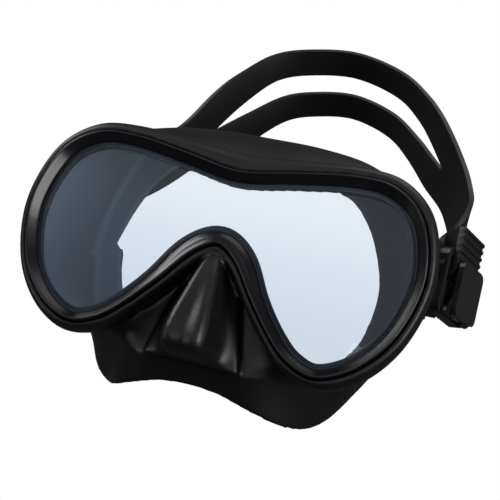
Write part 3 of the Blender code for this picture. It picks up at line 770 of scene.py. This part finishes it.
    def pocket_slice(self, level: Sequence[float], inset: float, back: float) -> list[Vector]:
        """One level slice of the nose pocket.

        Args:
            level: Height, flange half-width, bulb half-width and front depth.
            inset: Distance in from the outer face.
            back: Depth of the back edge.

        Returns:
            The slice as a closed ring.
        """
        height, flange, bulb, front = level
        wide = flange - inset
        half_bulb = bulb - inset
        lead = front + inset
        room = self.flange_depth - lead
        groove = self.nostril_groove * smooth_step((-height - 14.0) / 20.0)
        half = ((0.0, lead + groove), (0.28 * half_bulb, lead + 0.4 * groove), (0.6 * half_bulb, lead),
                (0.88 * half_bulb, lead + 0.14 * room), (half_bulb, lead + 0.4 * room),
                (0.7 * half_bulb + 0.3 * wide, lead + 0.8 * room),
                (wide - 0.6, self.flange_depth - 0.4 + 0.5 * inset),
                (wide, self.flange_depth + 0.8 + 0.5 * inset), (wide, back))
        right = [Vector((across, RIM_Y + depth, height)) for across, depth in half]
        control = [Vector((-point.x, point.y, point.z)) for point in reversed(right[1:])] + right
        ring = []
        for index in range(len(control) - 1):
            before = control[max(index - 1, 0)]
            after = control[min(index + 2, len(control) - 1)]
            ring += [spline_point(before, control[index], control[index + 1], after, step / 4)
                     for step in range(4)]
        ring.append(control[-1])
        return ring

    def pocket(self, inset: float, back: float) -> bmesh.types.BMesh:
        """Nose pocket as smooth stacked slices.

        Args:
            inset: Distance in from the outer face.
            back: Depth of the back edge.

        Returns:
            The closed form.
        """
        levels = [Vector(level) for level in self.pocket_levels]
        levels[0].x -= inset
        for index, share in ((-1, 1.0), (-2, 0.6), (-3, 0.25)):
            levels[index].x += share * inset
        rings = []
        for index in range(len(levels) - 1):
            before = levels[max(index - 1, 0)]
            after = levels[min(index + 2, len(levels) - 1)]
            for step in range(4):
                level = spline_point(before, levels[index], levels[index + 1], after, step / 4)
                rings.append(self.pocket_slice(level, inset, back))
        rings.append(self.pocket_slice(levels[-1], inset, back))
        return loft(bmesh.new(), rings)

    def tab(self, side: Side) -> bmesh.types.BMesh:
        """Flexible tab from the bumper back to the swivel pin."""
        front, root, radius = 8.5, 11.0, 7.6
        depth_of_pivot = PIVOT.y - RIM_Y
        outline = [(front, PIVOT.z - root), (front, PIVOT.z + root), (front + 8.0, PIVOT.z + radius + 0.8)]
        for step in range(25):
            angle = math.pi * (0.5 - step / 24)
            outline.append((depth_of_pivot + radius * math.cos(angle), PIVOT.z + radius * math.sin(angle)))
        outline.append((front + 8.0, PIVOT.z - radius - 0.8))
        rings = [[Vector((side.value * across, RIM_Y + depth, height)) for depth, height in outline]
                 for across in (self.tab_face - 4.0, self.tab_face)]
        return loft(bmesh.new(), rings)

    def recess(self, side: Side) -> bmesh.types.BMesh:
        """Round seat of the anchor boss in the tab."""
        rings = []
        for across in (self.tab_face - 2.0, self.tab_face + 3.0):
            ring = []
            for step in range(64):
                angle = 2.0 * math.pi * step / 64
                depth = PIVOT.y + self.recess_radius * math.cos(angle)
                height = PIVOT.z + self.recess_radius * math.sin(angle)
                ring.append(Vector((side.value * across, depth, height)))
            rings.append(ring)
        return loft(bmesh.new(), rings)

    def inside_faces(self, mesh: bpy.types.Mesh, hollows: Sequence[BVHTree]) -> None:
        """Give the faces of the eye space the lining's finish.

        Args:
            mesh: The finished skirt mesh.
            hollows: Forms that were cut out of it.
        """
        for face in mesh.polygons:
            underside = face.normal.z < 0.0 and face.center.z < self.lobe_height * MM
            if underside or face.center.y / MM - RIM_Y < self.ledge_depth - 0.2:
                continue
            for hollow in hollows:
                normal = hollow.find_nearest(face.center, self.lining_reach * MM)[1]
                if normal and normal.dot(face.normal) < -0.3:
                    face.material_index = 1

    def build(self) -> bpy.types.Object:
        """Join the forms, hollow them and melt the seams into soft fillets."""
        skirt = make_object("skirt_moulding", self.outer())
        additions = [make_object("pocket_form", self.pocket(0.0, self.pocket_back))]
        additions += [make_object("tab_form_" + side.label, self.tab(side)) for side in Side]
        combine(skirt, additions, "UNION")
        removals = [make_object("cavity_form", self.cavity()),
                    make_object("pocket_inside", self.pocket(self.pocket_wall, self.pocket_back + 4.0))]
        hollows = []
        for item in removals:
            corners = [vert.co for vert in item.data.vertices]
            faces = [tuple(face.vertices) for face in item.data.polygons]
            hollows.append(BVHTree.FromPolygons(corners, faces))
        removals += [make_object("recess_form_" + side.label, self.recess(side)) for side in Side]
        combine(skirt, removals, "DIFFERENCE")
        remesh = skirt.modifiers.new("melt", "REMESH")
        remesh.mode = "VOXEL"
        remesh.voxel_size = self.voxel * MM
        apply_modifiers(skirt)
        smooth = skirt.modifiers.new("soften", "SMOOTH")
        smooth.factor = 0.5
        smooth.iterations = 5
        apply_modifiers(skirt)
        skirt.data.shade_smooth()
        dress(skirt, SKIRT_SILICONE.make(), LINING_SILICONE.make())
        self.inside_faces(skirt.data, hollows)
        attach(skirt, "mask")
        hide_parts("skirt")
        return skirt


# ---------------------------------------------------------------------------------------------------------
# Strap and buckles
# ---------------------------------------------------------------------------------------------------------


@dataclass
class Station:
    """One cross-section of the strap."""

    point: Vector
    width: Vector
    half: float
    slot: float
    thickness: float
    rib: float
    split: bool


@dataclass
class Strap:
    """Silicone strap: ribbed tongues, a yoke on each side and a split band."""

    tilt: float = math.radians(29.6)
    tongue_half: float = 9.25
    tongue_thickness: float = 2.5
    web_thickness: float = 2.1
    rib_height: float = 0.6
    rib_pitch: float = 3.0
    tail_top: float = 30.4
    frame_top: float = 21.5
    window_top: float = 17.9
    yoke_half: float = 16.0
    band_half: float = 19.5
    slot_half: float = 5.5
    roller: tuple[float, float, float] = (0.6, 14.0, 2.7)
    route: tuple[tuple[float, float, float], ...] = (
        (86.5, 40, 0), (83, 57, 0), (76.5, 75, 0), (66.5, 93, 0), (53.5, 114, 0), (38, 131, 0),
        (15, 141, 0), (-7, 137, 0), (-21, 128, 0), (-32, 112, 2), (-42.5, 93, 5), (-52.5, 71, 9),
        (-66, 50, 10), (-79, 34, 5))
    slot_start: float = 3.6
    slot_end: float = 11.1
    span_steps: int = 12
    cone_lean: float = 0.15

    def tongue(self, side: Side) -> list[Station]:
        """Stations down the tail, round the roller and up the inner run."""
        roller_x, roller_z, hug = self.roller
        bend = hug + 0.5 * self.tongue_thickness
        outer_x = roller_x + bend
        marks = [(outer_x, self.tail_top - 0.2, 0.0)]
        crest = self.tail_top - 1.2
        while crest > roller_z + 2.0:
            marks += [(outer_x, crest + 0.95, 0.0), (outer_x, crest + 0.6, self.rib_height),
                      (outer_x, crest - 0.6, self.rib_height), (outer_x, crest - 0.95, 0.0)]
            crest -= self.rib_pitch
        for step in range(17):
            angle = math.pi * step / 16
            marks.append((roller_x + bend * math.cos(angle), roller_z - bend * math.sin(angle), 0.0))
        marks += [(roller_x - bend, self.window_top, 0.0), (roller_x - bend, self.frame_top + 1.5, 0.0),
                  (roller_x - bend, self.frame_top + 3.5, 0.0)]
        matrix = buckle_matrix(side)
        width = (matrix.to_3x3() @ Vector((0.0, 1.0, 0.0))).normalized()
        made = []
        for out, height, rib in marks:
            made.append(Station(matrix @ Vector((out, 0.0, height)), width, self.tongue_half, 1.5,
                                self.tongue_thickness, rib, False))
        return made

    def loop_point(self, across: float, along: float, back: float) -> Vector:
        """Point of the raised loop from its distance across, up the loop and behind its plane."""
        depth = along * math.sin(self.tilt) + back * math.cos(self.tilt)
        height = along * math.cos(self.tilt) - back * math.sin(self.tilt)
        return Vector((across, PIVOT.y + depth, PIVOT.z + height))

    def loop(self, start: Vector, finish: Vector) -> list[Station]:
        """Stations of the yokes and the split band between the two tongues."""
        down = Vector((0.0, 0.0, -12.0))
        middle = [self.loop_point(*item) for item in self.route]
        control = [start + down, start] + middle + [finish, finish + down]
        spans = len(control) - 3
        back_way = Vector((0.0, math.cos(self.tilt), -math.sin(self.tilt)))
        ends = [Vector((math.sin(BUCKLE_YAW), math.cos(BUCKLE_YAW), 0.0)),
                Vector((-math.sin(BUCKLE_YAW), math.cos(BUCKLE_YAW), 0.0))]
        made = []
        for count in range(1, spans * self.span_steps):
            index, step = divmod(count, self.span_steps)
            place = count / self.span_steps
            point = spline_point(*control[index:index + 4], step / self.span_steps)
            lean = -self.cone_lean * math.copysign(min(1.0, abs(point.x - 16.0) / 40.0), point.x - 16.0)
            loop_way = (back_way + Vector((lean, 0.0, 0.0))).normalized()
            from_end = min(place, spans - place)
            width = ends[place > spans / 2].lerp(loop_way, smooth_step(from_end / 1.7)).normalized()
            yoke = smooth_step(from_end / 1.7)
            split = min(place - self.slot_start, self.slot_end - place)
            half = self.tongue_half + (self.yoke_half - self.tongue_half) * yoke
            half += (self.band_half - self.yoke_half) * smooth_step(split / 1.6 + 0.5)
            slot = 0.35 + (self.slot_half - 0.35) * math.sqrt(smooth_step(split / 2.2 + 0.02))
            thickness = self.tongue_thickness + (self.web_thickness - self.tongue_thickness) * yoke
            made.append(Station(point, width, half, slot, thickness, 0.0, split >= 0.0))
        return made

    def stations(self) -> list[Station]:
        """Every cross-section from the left tail to the right tail."""
        left = self.tongue(Side.LEFT)
        right = self.tongue(Side.RIGHT)
        return left + self.loop(left[-1].point, right[-1].point) + list(reversed(right))

    def build(self) -> bpy.types.Object:
        """Skin both faces of the strap and round its edges."""
        stations = self.stations()
        bm = bmesh.new()
        outer, inner = [], []
        for index, item in enumerate(stations):
            before = stations[max(index - 1, 0)].point
            after = stations[min(index + 1, len(stations) - 1)].point
            along = (after - before).normalized()
            normal = along.cross(item.width).normalized()
            across = [-item.half, -0.5 * (item.half + item.slot), -item.slot]
            across += [-step for step in reversed(across)]
            lift = normal * (0.5 * item.thickness + item.rib)
            outer.append([bm.verts.new(item.point + item.width * step + lift) for step in across])
            inner.append([bm.verts.new(item.point + item.width * step - normal * 0.5 * item.thickness)
                          for step in across])
        cells = set()
        for index in range(len(stations) - 1):
            open_slot = stations[index].split and stations[index + 1].split
            cells |= {(index, column) for column in range(5) if not (column == 2 and open_slot)}
        for index, column in sorted(cells):
            for rows in (outer, inner):
                bm.faces.new((rows[index][column], rows[index][column + 1],
                              rows[index + 1][column + 1], rows[index + 1][column]))
            walls = (((index, column - 1), (index, column), (index + 1, column)),
                     ((index, column + 1), (index, column + 1), (index + 1, column + 1)),
                     ((index - 1, column), (index, column), (index, column + 1)),
                     ((index + 1, column), (index + 1, column), (index + 1, column + 1)))
            for neighbour, first, second in walls:
                if neighbour not in cells:
                    bm.faces.new((outer[first[0]][first[1]], outer[second[0]][second[1]],
                                  inner[second[0]][second[1]], inner[first[0]][first[1]]))
        strap = make_object("strap_band", bm, 50.0)
        edges = strap.modifiers.new("edge_round", "BEVEL")
        edges.width = 0.55 * MM
        edges.segments = 3
        edges.limit_method = "ANGLE"
        edges.angle_limit = math.radians(55.0)
        apply_modifiers(strap)
        strap.data.shade_smooth()
        strap.data.set_sharp_from_angle(angle=math.radians(50.0))
        dress(strap, STRAP_SILICONE.make())
        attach(strap, "left_buckle")
        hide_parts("strap")
        return strap


@dataclass
class Buckle:
    """The CAD buckle of one side, with its finishes and rounded edges."""

    side: Side

    def dress(self) -> None:
        """Give each piece of the buckle its finish."""
        plastic = BUCKLE_PLASTIC.make()
        steel = STEEL.make()
        bevels = (("buckle_frame", 0.3), ("release_lever", 0.25), ("roller", 0.0), ("anchor_boss", 0.4))
        for base, bevel in bevels:
            dress_node(f"{base}_{self.side.label}", plastic, bevel)
        for base in ("swivel_pin", "roller_axle", "lever_pin", "lever_spring"):
            dress_node(f"{base}_{self.side.label}", steel)


# ---------------------------------------------------------------------------------------------------------
# Studio
# ---------------------------------------------------------------------------------------------------------


@dataclass(frozen=True)
class SoftBox:
    """A rectangular lamp aimed at the mask."""

    name: str
    place: tuple[float, float, float]
    size: tuple[float, float]
    power: float
    colour: tuple[float, float, float] = (1.0, 1.0, 1.0)

    def build(self, target: Vector) -> bpy.types.Object:
        """Place the lamp.

        Args:
            target: Point that it faces, in metres.

        Returns:
            The lamp.
        """
        lamp = bpy.data.lights.new(self.name, "AREA")
        lamp.shape = "RECTANGLE"
        lamp.size, lamp.size_y = self.size
        lamp.energy = self.power
        lamp.color = self.colour
        made = bpy.data.objects.new(self.name, lamp)
        made.location = self.place
        made.rotation_euler = (target - made.location).to_track_quat("-Z", "Y").to_euler()
        bpy.context.collection.objects.link(made)
        return made


@dataclass
class Studio:
    """Camera, floor, backdrop, world and lamps. Places are in metres."""

    azimuth: float = 14.54
    elevation: float = -15.73
    roll: float = 16.01
    distance: float = 0.3772
    aim: tuple[float, float, float] = (0.01345, -0.045, 0.0)
    lens: float = 72.0
    floor_z: float = -0.32
    lamps: tuple[SoftBox, ...] = (
        SoftBox("key", (-0.95, -0.35, 0.75), (0.7, 0.5), 7.0),
        SoftBox("top", (0.15, -0.10, 0.95), (0.9, 0.6), 2.2),
        SoftBox("side", (0.95, -0.50, 0.10), (0.45, 0.9), 9.0),
        SoftBox("low_front", (0.25, -0.95, -0.25), (0.35, 0.5), 0.9),
        # Stands where the flat glass reflects it toward the camera.
        SoftBox("veil", (-0.29, -1.12, 0.33), (1.6, 1.2), 2.8, (0.86, 0.93, 1.0)),
        SoftBox("low_left", (-0.85, -0.55, -0.25), (0.3, 0.5), 1.4),
    )

    def camera(self) -> None:
        """Look from low in front and a little from the wearer's left."""
        turn, rise, roll = (math.radians(value) for value in (self.azimuth, self.elevation, self.roll))
        back = Vector((math.sin(turn) * math.cos(rise), -math.cos(turn) * math.cos(rise), math.sin(rise)))
        level = Vector((math.cos(turn), math.sin(turn), 0.0))
        upright = back.cross(level)
        right = math.cos(roll) * level + math.sin(roll) * upright
        up = -math.sin(roll) * level + math.cos(roll) * upright
        data = bpy.data.cameras.new("camera")
        data.lens = self.lens
        data.sensor_width = 36.0
        data.clip_start = 0.01
        made = bpy.data.objects.new("camera", data)
        matrix = Matrix((right, up, back)).transposed().to_4x4()
        matrix.translation = Vector(self.aim) + back * self.distance
        made.matrix_world = matrix
        bpy.context.collection.objects.link(made)
        bpy.context.scene.camera = made

    def panel(self, name: str, size: float, brightness: float, roughness: float = 0.9) -> bpy.types.Object:
        """Make a plain panel that only the camera and the glass see; it casts no light on the mask.

        Args:
            name: Object name.
            size: Edge length in metres.
            brightness: Own light of the panel.
            roughness: Surface roughness.

        Returns:
            The panel, flat at the origin.
        """
        mesh = bpy.data.meshes.new(name)
        half = 0.5 * size
        corners = [(-half, -half, 0), (half, -half, 0), (half, half, 0), (-half, half, 0)]
        mesh.from_pydata(corners, [], [(0, 1, 2, 3)])
        made = bpy.data.objects.new(name, mesh)
        bpy.context.collection.objects.link(made)
        shader = Shader(name + "_paper")
        paper = 0.0 if brightness > 0.0 else 0.9
        shader.set(Base_Color=(paper, paper, paper, 1.0), Specular_IOR_Level=0.0, Roughness=roughness,
                   Emission_Color=(1.0, 1.0, 1.0, 1.0), Emission_Strength=brightness)
        mesh.materials.append(shader.material)
        made.visible_glossy = False
        made.visible_diffuse = False
        made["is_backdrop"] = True
        return made

    def build(self) -> None:
        """Set the camera, the world, the panels and the lamps."""
        self.camera()
        floor = self.panel("floor", 6.0, 0.0)
        floor.location = (0.0, 0.0, self.floor_z)
        backdrop = self.panel("backdrop", 5.0, 1.0)
        backdrop.location = (-0.45, 1.9, 0.6)
        backdrop.rotation_euler = (math.radians(90.0), 0.0, 0.0)
        world = bpy.data.worlds.new("studio")
        world.use_nodes = True
        world.node_tree.nodes["Background"].inputs["Color"].default_value = (0.93, 0.95, 1.0, 1.0)
        world.node_tree.nodes["Background"].inputs["Strength"].default_value = 0.06
        bpy.context.scene.world = world
        bpy.context.scene.view_settings.view_transform = "Standard"
        for lamp in self.lamps:
            lamp.build(Vector(self.aim))


def save_bounds(notes: dict[str, object], key: str) -> None:
    """Note the whole object's box under a key."""
    notes[key] = [list(map(float, corner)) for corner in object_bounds()]


def main() -> None:
    """Build the looks piece by piece, in the order they would be put together."""
    logging.basicConfig(level=logging.INFO, format="%(name)s: %(message)s")
    notes: dict[str, object] = {}
    save_bounds(notes, "frame")
    Studio().build()
    skirt = Skirt().build()
    LOG.info("skirt: %d faces", len(skirt.data.polygons))
    lens = Lens().build()
    LOG.info("lens: %d faces", len(lens.data.polygons))
    clamp = SweptRing("clamp_ring_bead", "clamp_ring",
                      ((-0.25, 0.05), (0.3, 0.05), (0.7, 0.5), (0.7, 7.2), (-0.6, 7.2), (-0.6, 4.2),
                       (-3.3, 4.2), (-3.3, 3.4), (-2.6, 2.5), (-0.75, 0.7)), RING_PLASTIC).build()
    hoop = SweptRing("frame_hoop_bar", "frame_hoop",
                     ((-3.0, 7.5), (0.7, 7.5), (0.7, 10.3), (-3.0, 10.3)), HOOP_PLASTIC).build()
    LOG.info("rings: %d and %d faces", len(clamp.data.polygons), len(hoop.data.polygons))
    strap = Strap().build()
    LOG.info("strap: %d faces", len(strap.data.polygons))
    for side in Side:
        Buckle(side).dress()
        LOG.info("buckle %s dressed", side.label)
    save_bounds(notes, "looks")


if __name__ == "__main__":
    main()
